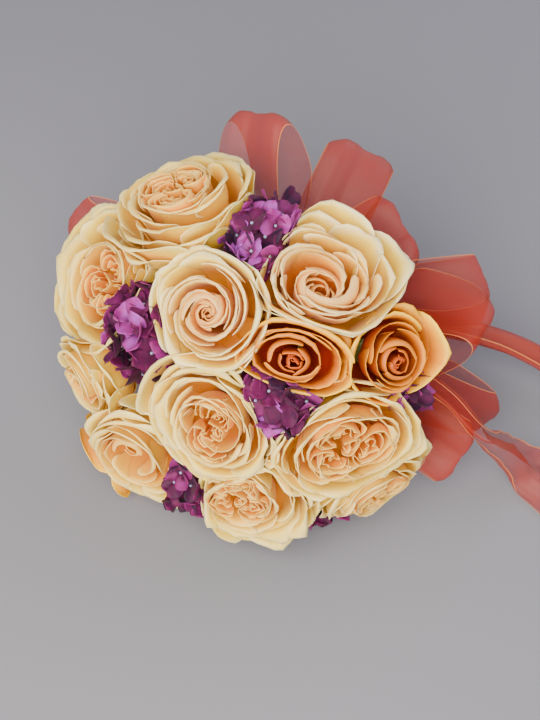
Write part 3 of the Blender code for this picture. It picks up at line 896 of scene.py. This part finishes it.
def stem_slots():
    """Clock angle and distance from the axis at which each stem runs through the handle."""
    slots = {CENTRE_STEM: (0.0, 0.0)}
    outer = [name for name in FLOWERS if name != CENTRE_STEM and name not in INNER_RING_STEMS]
    for names, distance, turn in ((INNER_RING_STEMS, STEM_PITCH, INNER_TURN), (outer, OUTER_RING, 0)):
        in_order = sorted(names, key=lambda name: FLOWERS[name][0])
        for i, name in enumerate(in_order):
            slots[name] = (FLOWERS[in_order[0]][0] + turn + 360 * i / len(in_order), distance)
    return slots


def stem(flower, slot, look):
    """One stem, from its cut end through the handle and the fan to the joint with its head."""
    dice = random.Random(flower + "_stem")
    base, _, _, facing = head_axes(flower)
    is_rose = flower in ROSES
    radius = STEM_RADIUS if is_rose else SPRIG_RADIUS
    joint = base - facing * GAP
    neck = joint - facing * HIP_LENGTH
    fan = posy_point(*slot, FAN_START)
    pull = (neck - fan).length * BEND_PULL
    foot = posy_point(*slot, CUT_END)
    points = [foot, foot + OUT * CHAMFER]
    points += [foot.lerp(fan, i / STEM_STEPS) for i in range(1, STEM_STEPS)]
    for i in range(STEM_STEPS + 1):
        points.append(hermite(fan, OUT * pull, neck, facing * pull, i / STEM_STEPS))
    radii = [radius - CHAMFER] + [radius] * (len(points) - 1)
    for scar in range(dice.randint(4, 6), len(points) - 2, SCAR_EVERY):
        radii[scar] = radius * SCAR_SWELL
    hip = HIP_RADIUS if is_rose else SPRIG_RADIUS
    for share in (0.15, 0.35, 0.60, 0.80, 0.95, 1.0):
        points.append(neck.lerp(joint, share))
        swell = math.sin(min(share / HIP_FULL_AT, 1) * math.pi / 2)
        swell -= HIP_DRAWN_IN * max(share - HIP_FULL_AT, 0) / (1 - HIP_FULL_AT)
        radii.append(radius + (hip - radius) * swell)
    made, faces = tube(points, radii, STEM_SIDES)
    piece = mesh_piece(flower + "_stalk", made, faces, {})
    piece.data.materials.append(look)
    on_the_body(piece, flower + "_stem")


for flower, slot in stem_slots().items():
    stem(flower, slot, stem_skin)


# Calyx: five pointed green sepals under each rose, grown from the top of the hip and bent back
# along the outer petals.

CALYX_HALF_WIDTH, CALYX_REACH, CALYX_THICKNESS = 0.0034, 0.024, 0.0005
CALYX_SEPALS, CALYX_ROWS, CALYX_COLUMNS = 5, 10, 5


def calyx(rose, look):
    """Five sepals, each a row of points across, repeated from its foot to its tip."""
    dice = random.Random(rose + "_calyx")
    base, across, rise, facing = (np.array(axis) for axis in head_axes(rose))
    axes = np.stack([across, rise, facing])
    points, faces = [], []
    part = 360 / CALYX_SEPALS
    start_clock = dice.uniform(0, part)
    for i in range(CALYX_SEPALS):
        reach = CALYX_REACH * dice.uniform(0.85, 1.15)
        curl = dice.uniform(-0.003, 0.004)
        route = ((0.0035, -0.0020), (0.0075, -0.0012), (reach * 0.62, 0.0030), (reach, 0.0070 + curl))
        share = np.linspace(0, 1, CALYX_ROWS)
        path = smooth_route(route, share)
        half = CALYX_HALF_WIDTH * np.sin(math.pi * (0.22 + 0.78 * share)) ** 0.8 + 0.0001
        sepal = []
        for (out, height), width in zip(path, half):
            for side in np.linspace(-1, 1, CALYX_COLUMNS):
                sepal.append((out, side * width, height + 0.0012 * side**2 * (1 - out / reach)))
        sepal = turned(np.array(sepal), 1, 0, math.radians(start_clock + part * i + dice.uniform(-6, 6)))
        points.append(base + sepal @ axes)
        for row in range(CALYX_ROWS - 1):
            for column in range(CALYX_COLUMNS - 1):
                low = (i * CALYX_ROWS + row) * CALYX_COLUMNS + column
                high = low + CALYX_COLUMNS
                faces.append([low, low + 1, high + 1, high])
    points = np.concatenate(points)
    points[:, 2] = np.maximum(points[:, 2], TABLE_CLEARANCE)
    piece = mesh_piece(rose + "_calyx", points, faces, {})
    solidified(piece, CALYX_THICKNESS)
    piece.data.materials.append(look)
    on_the_body(piece, rose + "_stem")


for rose in ROSES:
    calyx(rose, stem_skin)


# Florist's tape: waxed crepe paper stretched round the stems where they are tied. The model's
# own piece of it stays and takes this surface, and the ribbon is wound over it.

def tape_material():
    """Waxed crepe paper, its creases about 1.4 mm apart."""
    made, tree, shader = new_material("waxed_crepe_tape", Roughness=0.6)
    crepe = grain(tree, 700.0, 3.0)
    colour = colour_ramp(tree, crepe, (0.0, "#4B6332"), (1.0, "#6F8A50"))
    bump = node(tree, "Bump", Height=crepe, Strength=0.5, Distance=0.0003)
    connect(tree, shader, Base_Color=colour, Normal=bump)
    return made


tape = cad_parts["binding_tape"]
for material_slot in tape.material_slots:
    material_slot.material = tape_material()


# Organza: a sheer plain weave of fine rust-red threads with a firm woven edge. One layer covers
# about a third of what is behind it; layers stack to a deep red. Its threads are drawn 0.33 mm
# apart, coarser than the real 0.2 mm so that they show, and the weave clouds every 7 mm or so.

ORGANZA_THICKNESS = 0.00014     # as thin as shows, in place of 0.1 mm
RIBBON_WIDTH = 0.050
FULLEST_WIDTH = RIBBON_WIDTH * 0.985    # a pleated ribbon never lies quite flat
SELVAGE_COVER = 0.60


def organza_material(name, cover):
    """cover is the share of what lies behind it that the weave hides."""
    made, tree, shader = new_material(
        name, Roughness=0.48, Sheen_Weight=0.17, Sheen_Roughness=0.35, Sheen_Tint=srgb("#F0A070"),
    )
    uv = node(tree, "UVMap", {"uv_map": "ribbon"})
    across = node(tree, "SeparateXYZ", Vector=uv).outputs["X"]
    off_middle = maths(tree, "ABSOLUTE", maths(tree, "SUBTRACT", across, 0.5))
    selvage = node(tree, "MapRange", Value=off_middle, From_Min=0.486, From_Max=0.490)
    weave_at = node(tree, "Mapping", Vector=uv, Scale=(60.0, 60.0, 1.0))
    cloud = node(tree, "TexNoise", Vector=weave_at, Scale=0.12, Detail=3.0)
    thread = node(
        tree, "TexWave", {"wave_type": "BANDS", "bands_direction": "X"},
        Vector=weave_at, Scale=0.8, Distortion=0.6,
    ).outputs["Fac"]
    threads = maths(tree, "MULTIPLY_ADD", thread, 0.06, cover - 0.03)
    weave = maths(tree, "ADD", threads, maths(tree, "MULTIPLY_ADD", cloud, 0.10, -0.05))
    alpha = node(tree, "Mix", {"data_type": "FLOAT"}, _0=selvage, _2=weave, _3=SELVAGE_COVER)
    colour = mixed(tree, selvage, srgb("#A4200A"), srgb("#DC8450"))
    bump = node(tree, "Bump", Height=thread, Strength=0.15, Distance=0.0002)
    connect(tree, shader, Alpha=alpha, Base_Color=colour, Normal=bump)
    return made


sheer_organza = organza_material("sheer_rust_organza", 0.32)
layered_organza = organza_material("layered_rust_organza", 0.80)


def ribbon_piece(name, replaced, points, rows, columns, lengths, look):
    """A sheet of ribbon from rows of points, and how far along the ribbon each row lies."""
    faces, uvs = [], []
    for i in range(rows - 1):
        for j in range(columns - 1):
            low, high = i * columns + j, (i + 1) * columns + j
            faces.append([low, low + 1, high + 1, high])
            for row, column in ((i, j), (i, j + 1), (i + 1, j + 1), (i + 1, j)):
                uvs += [column / (columns - 1), lengths[row] / RIBBON_WIDTH]
    piece = mesh_piece(name, points, faces, {})
    piece.data.uv_layers.new(name="ribbon").data.foreach_set("uv", uvs)
    solidified(piece, ORGANZA_THICKNESS)
    piece.data.materials.append(look)
    on_the_body(piece, replaced)
    return piece


# Handle wrap and tie band: one ribbon, folded lengthwise and wound down the stems over the
# tape, and a second gathered hard round the top of it, which holds the bow.

BAND_TOP, BAND_FOOT = -0.0600, -0.0820
TAPE_WALL, WRAP_WALL, BAND_WALL = 0.0006, 0.0008, 0.0030
TAPE_RADIUS = BUNDLE_RADIUS + GAP
WRAP_RADIUS = TAPE_RADIUS + TAPE_WALL + GAP
BAND_RADIUS = WRAP_RADIUS + WRAP_WALL + GAP
BAND_OUTSIDE = BAND_RADIUS + BAND_WALL
WINDING_STEPS, WINDING_COLUMNS = 40, 13     # rows in one turn, and points across
LAP = 0.0009            # how far the upper edge of a turn stands over the turn above it
BAND_RIDGE, BAND_ROOM = 0.0006, 0.0010      # height of the band's ridges, and their room below


def wound_ribbon(name, replaced, top, foot, turns, radius, fold, gather, look):
    """Ribbon folded to this width, wound from top to foot with its ridges this high."""
    rows, columns = int(turns * WINDING_STEPS) + 1, WINDING_COLUMNS
    advance = (top - foot - fold) / max(turns - 1, 1)
    step = 2 * math.pi * radius / WINDING_STEPS
    points, lengths = [], []
    for i in range(rows):
        turn = i / WINDING_STEPS
        start = top - advance * min(max(turn - 0.5, 0), turns - 1)
        for j in range(columns):
            share = j / (columns - 1)
            ridge = gather * math.sin(share * 6 * math.pi + 1.3 * math.sin(turn * 5.0))
            distance = radius + LAP * (1 - share) + ridge
            points.append(tuple(posy_point(360 * turn, distance, start - fold * share)))
        lengths.append(i * step)
    piece = ribbon_piece(name, replaced, points, rows, columns, lengths, look)


wound_ribbon(
    "handle_wrap_organza", "handle_wrap", top=-0.062, foot=-0.138, turns=5.0,
    radius=TAPE_RADIUS + TAPE_WALL, fold=0.025, gather=0.00012, look=layered_organza,
)
wound_ribbon(
    "tie_band_organza", "tie_band", top=BAND_TOP, foot=BAND_FOOT, turns=2.0,
    radius=BAND_RADIUS + BAND_ROOM, fold=0.020, gather=BAND_RIDGE, look=layered_organza,
)


# Knot: a short end of the ribbon pulled tight over the band in a small pillow, gathered so
# hard that its layers show as ridges.

KNOT_RADIUS, KNOT_CLOCK = 0.0060, -3
KNOT_TURN, KNOT_ROWS, KNOT_COLUMNS = 400, 49, 21
KNOT_FULLNESS = 0.90    # the pillow's own radius, as a share of the room it is given
KNOT_HALF_LENGTH = KNOT_RADIUS * 1.05
# Height of its ridges, how far it swells as it is wound, and how round its two ends are
KNOT_RIDGE, KNOT_GROWTH, KNOT_ROUNDING = 0.00045, 0.05, 0.80


def ribbon_knot(look):
    """Wound once and a little more round a line across the band, rounded off at its ends."""
    middle = posy_point(KNOT_CLOCK, BAND_OUTSIDE + GAP + KNOT_RADIUS, BAND_TOP)
    outwards = radial(KNOT_CLOCK)
    along_band = OUT.cross(outwards)
    step = 2 * math.pi * KNOT_RADIUS * KNOT_FULLNESS * KNOT_TURN / 360 / (KNOT_ROWS - 1)
    points, lengths = [], []
    for i in range(KNOT_ROWS):
        share_round = i / (KNOT_ROWS - 1)
        angle = math.radians(KNOT_TURN * share_round)
        spoke = outwards * math.cos(angle) + OUT * math.sin(angle)
        radius = KNOT_RADIUS * KNOT_FULLNESS * (1.0 + KNOT_GROWTH * share_round)
        for j in range(KNOT_COLUMNS):
            share = 2 * j / (KNOT_COLUMNS - 1) - 1
            ridge = KNOT_RIDGE * math.cos(share * 4 * math.pi + 0.8 * math.sin(2 * angle))
            reach = radius * math.sqrt(1 - KNOT_ROUNDING * share**2) + ridge
            points.append(tuple(middle + along_band * (share * KNOT_HALF_LENGTH) + spoke * reach))
        lengths.append(i * step)
    piece = ribbon_piece(
        "ribbon_knot_organza", "ribbon_knot", points, KNOT_ROWS, KNOT_COLUMNS, lengths, look,
    )


ribbon_knot(layered_organza)


# Bow: eight loops of the 50 mm ribbon, one sheer layer going out and one coming back. Each is
# gathered in pleats at the band, which ties it down, and puffs open towards its fold.

PLEATS = 1.5            # across the width of the ribbon
# Clock angle at the band and at the tip, reach from the axis, whether in the front row, how
# far the loop is rolled about its length in degrees, and half its depth where it puffs open
LOOPS = {
    "ribbon_loop_1": (150, 171, 0.165, True, 10, 0.011),
    "ribbon_loop_2": (118, 110, 0.146, True, 25, 0.018),
    "ribbon_loop_3": (93, 84, 0.127, False, -25, 0.016),
    "ribbon_loop_4": (69, 58, 0.116, True, 15, 0.012),
    "ribbon_loop_5": (45, 27, 0.134, False, 0, 0.010),
    "ribbon_loop_6": (21, 23, 0.143, True, 60, 0.021),
    "ribbon_loop_7": (-3, -9, 0.152, False, -30, 0.011),
    "ribbon_loop_8": (-31, -15, 0.148, True, 0, 0.010),
}
FRONT_ROW, BACK_ROW = (-0.066, -0.048), (-0.076, -0.100)    # heights of the pinch and the tip
LOOP_ROWS, RIBBON_COLUMNS = 72, 25
LOOP_ROUNDNESS = 0.8    # under 1 spends more of the loop near its fold
OPEN_BY = 0.70          # share of the reach at which a loop has its full depth and width
PINCH_WIDTH, PINCH_HALF_DEPTH = 0.010, 0.003
FOLD_CROWN = 0.06       # how much shorter a loop is along its edges than along its middle


def smooth_share(value):
    value = min(max(value, 0.0), 1.0)
    return value * value * (3 - 2 * value)


def pleated_row(middle, across, face, width, phase, up_only=False):
    """One cross-section of the ribbon, gathered in pleats from its full width to this one."""
    spare = math.sqrt(2 * max((RIBBON_WIDTH / width) ** 2 - 1, 0.0))
    swell = spare * width / (2 * math.pi * PLEATS)
    row = []
    for j in range(RIBBON_COLUMNS):
        u = j / (RIBBON_COLUMNS - 1) - 0.5
        wave = math.sin(2 * math.pi * PLEATS * u + phase)
        wave += 0.16 * math.sin(7.4 * math.pi * PLEATS * u + 2 * phase)
        if up_only:
            wave += 1
        row.append(middle + across * (u * width) + face * (swell * wave))
    return row


def stations(middles):
    """Each place on a ribbon's path, the way through it and the ribbon's length up to it."""
    run = 0.0
    for i, middle in enumerate(middles):
        before, after = middles[max(i - 1, 0)], middles[min(i + 1, len(middles) - 1)]
        run += (middle - before).length
        yield middle, after - before, run


def ribbon_loop(loop, pinch_clock, tip_clock, reach, in_front, roll, puff, look):
    """One loop, from the band out to its fold and back to the band."""
    dice = random.Random(loop)
    pinch_height, tip_height = FRONT_ROW if in_front else BACK_ROW
    pinch = posy_point(pinch_clock, BAND_OUTSIDE + GAP, pinch_height)
    tip = posy_point(tip_clock, reach, tip_height)
    length = (tip - pinch).length
    way = (tip - pinch) / length
    across_band = OUT.cross(radial(pinch_clock))
    level, turn = OUT.cross(way).normalized(), math.radians(roll)
    deep = way.cross(level)
    across_tip = level * math.cos(turn) - deep * math.sin(turn)
    deep_tip = deep * math.cos(turn) + level * math.sin(turn)
    slip, skew, phase = dice.uniform(0.002, 0.005), dice.uniform(-0.25, 0.25), dice.uniform(0, 6.3)
    middles, acrosses, widths, crowns = [], [], [], []
    for i in range(LOOP_ROWS):
        angle = math.pi * i / (LOOP_ROWS - 1)
        share = math.sin(angle) ** LOOP_ROUNDNESS
        opened = smooth_share(share / OPEN_BY)
        depth = PINCH_HALF_DEPTH + (puff - PINCH_HALF_DEPTH) * opened
        middle = pinch.lerp(tip, share) + OUT.lerp(deep_tip, opened) * (depth * math.cos(angle))
        middles.append(middle + across_tip * (math.cos(angle) * slip * opened))
        across = across_band.lerp(across_tip, share) + way * (skew * math.cos(angle) * opened)
        acrosses.append(across.normalized())
        widths.append(PINCH_WIDTH + (FULLEST_WIDTH - PINCH_WIDTH) * opened)
        crowns.append(way * (-FOLD_CROWN * length * share**3))
    points, lengths = [], []
    for (middle, through, run), across, width, crown in zip(stations(middles), acrosses, widths, crowns):
        face = through.cross(across).normalized()
        for j, point in enumerate(pleated_row(middle, across, face, width, phase)):
            off_middle = abs(2 * j / (RIBBON_COLUMNS - 1) - 1)
            points.append(tuple(point + crown * off_middle**3))
        lengths.append(run)
    piece = ribbon_piece(loop + "_organza", loop, points, LOOP_ROWS, RIBBON_COLUMNS, lengths, look)


for loop, shape in LOOPS.items():
    ribbon_loop(loop, *shape, sheer_organza)


# Tails: the ribbon's two loose ends. One leaves under the band behind the bow, the other comes
# out of the knot, crosses a loop, turns over and lies flat to its cut end.

BACK_TAIL_CLOCK, BACK_TAIL_ROLL, FRONT_TAIL_ROLL = 15, 105, -60
# Right of the axis, behind the rim's centre, above the table, then width and roll in degrees
TAIL_TO_THE_BACK = (
    (0.0290, 0.0830, 0.0541, 0.012, 85), (0.0560, 0.0960, 0.0489, 0.014, 65),
    (0.0920, 0.1060, 0.0430, 0.014, 60), (0.1270, 0.1150, 0.0370, 0.013, 55),
    (0.1620, 0.1210, 0.0270, 0.016, 40), (0.2000, 0.1200, 0.0119, 0.028, 15),
    (0.2240, 0.1130, 0.0012, 0.040, 0), (0.2460, 0.1040, 0.0006, 0.048, 0),
)
TAIL_TO_THE_FRONT = (
    (0.0680, 0.0355, 0.0885, 0.014, -60), (0.1000, 0.0310, 0.0990, 0.014, -58),
    (0.1281, 0.0260, 0.0930, 0.012, -55), (0.1454, 0.0200, 0.0815, 0.012, -48),
    (0.1535, 0.0250, 0.0600, 0.014, -42), (0.1620, 0.0380, 0.0320, 0.020, -28),
    (0.1730, 0.0470, 0.0110, 0.029, -14), (0.1890, 0.0480, 0.0012, 0.040, 0),
    (0.2180, 0.0421, 0.0006, 0.050, 0),
)
TAIL_STEPS, TAIL_ROOT_WIDTH, TAIL_PHASE = 14, 0.010, 1.0
BACK_ROOT_OUT, BACK_ROOT_DOWN = 0.0005, 0.0012  # from the foot of the band to the back tail's root
LOWEST_MIDDLE, LOWEST_POINT = 0.0006, 0.0004    # of a tail that lies on the table


def ribbon_tail(tail, root, root_roll, loose_places, look):
    """A loose end, from its root at the band through its places to the cut."""
    places = [(root, TAIL_ROOT_WIDTH, root_roll)]
    for right_of, behind, over, width, roll in loose_places:
        places.append((Vector((CENTRE.x + right_of, CENTRE.y + behind, over)), width, roll))
    last = len(places) - 1
    pulls = [(places[min(i + 1, last)][0] - places[max(i - 1, 0)][0]) / 2 for i in range(last + 1)]
    middles, widths, rolls = [], [], []
    for step in range(last * TAIL_STEPS + 1):
        i = min(step // TAIL_STEPS, last - 1)
        t = step / TAIL_STEPS - i
        (start, start_width, start_roll), (end, end_width, end_roll) = places[i], places[i + 1]
        middle = hermite(start, pulls[i], end, pulls[i + 1], t)
        middle.z = max(middle.z, LOWEST_MIDDLE)
        ease = smooth_share(t)
        middles.append(middle)
        widths.append(min(start_width + (end_width - start_width) * ease, FULLEST_WIDTH))
        rolls.append(math.radians(start_roll + (end_roll - start_roll) * ease))
    points, lengths = [], []
    for (middle, through, run), width, roll in zip(stations(middles), widths, rolls):
        way = through.normalized()
        level = way.cross(Vector((0.0, 0.0, 1.0))).normalized()
        across = level * math.cos(roll) + level.cross(way) * math.sin(roll)
        face = across.cross(way)
        if face.z < 0:
            face = -face
        row = pleated_row(middle, across, face, width, TAIL_PHASE, up_only=True)
        points += [(point.x, point.y, max(point.z, LOWEST_POINT)) for point in row]
        lengths.append(run)
    piece = ribbon_piece(tail + "_organza", tail, points, len(middles), RIBBON_COLUMNS, lengths, look)


back_root = posy_point(BACK_TAIL_CLOCK, BAND_RADIUS + GAP + BACK_ROOT_OUT, BAND_FOOT - BACK_ROOT_DOWN)
ribbon_tail("ribbon_tail_back", back_root, BACK_TAIL_ROLL, TAIL_TO_THE_BACK, sheer_organza)
front_root = posy_point(KNOT_CLOCK, BAND_OUTSIDE + 2 * (KNOT_RADIUS + GAP), BAND_TOP)
ribbon_tail("ribbon_tail_front", front_root, FRONT_TAIL_ROLL, TAIL_TO_THE_FRONT, sheer_organza)
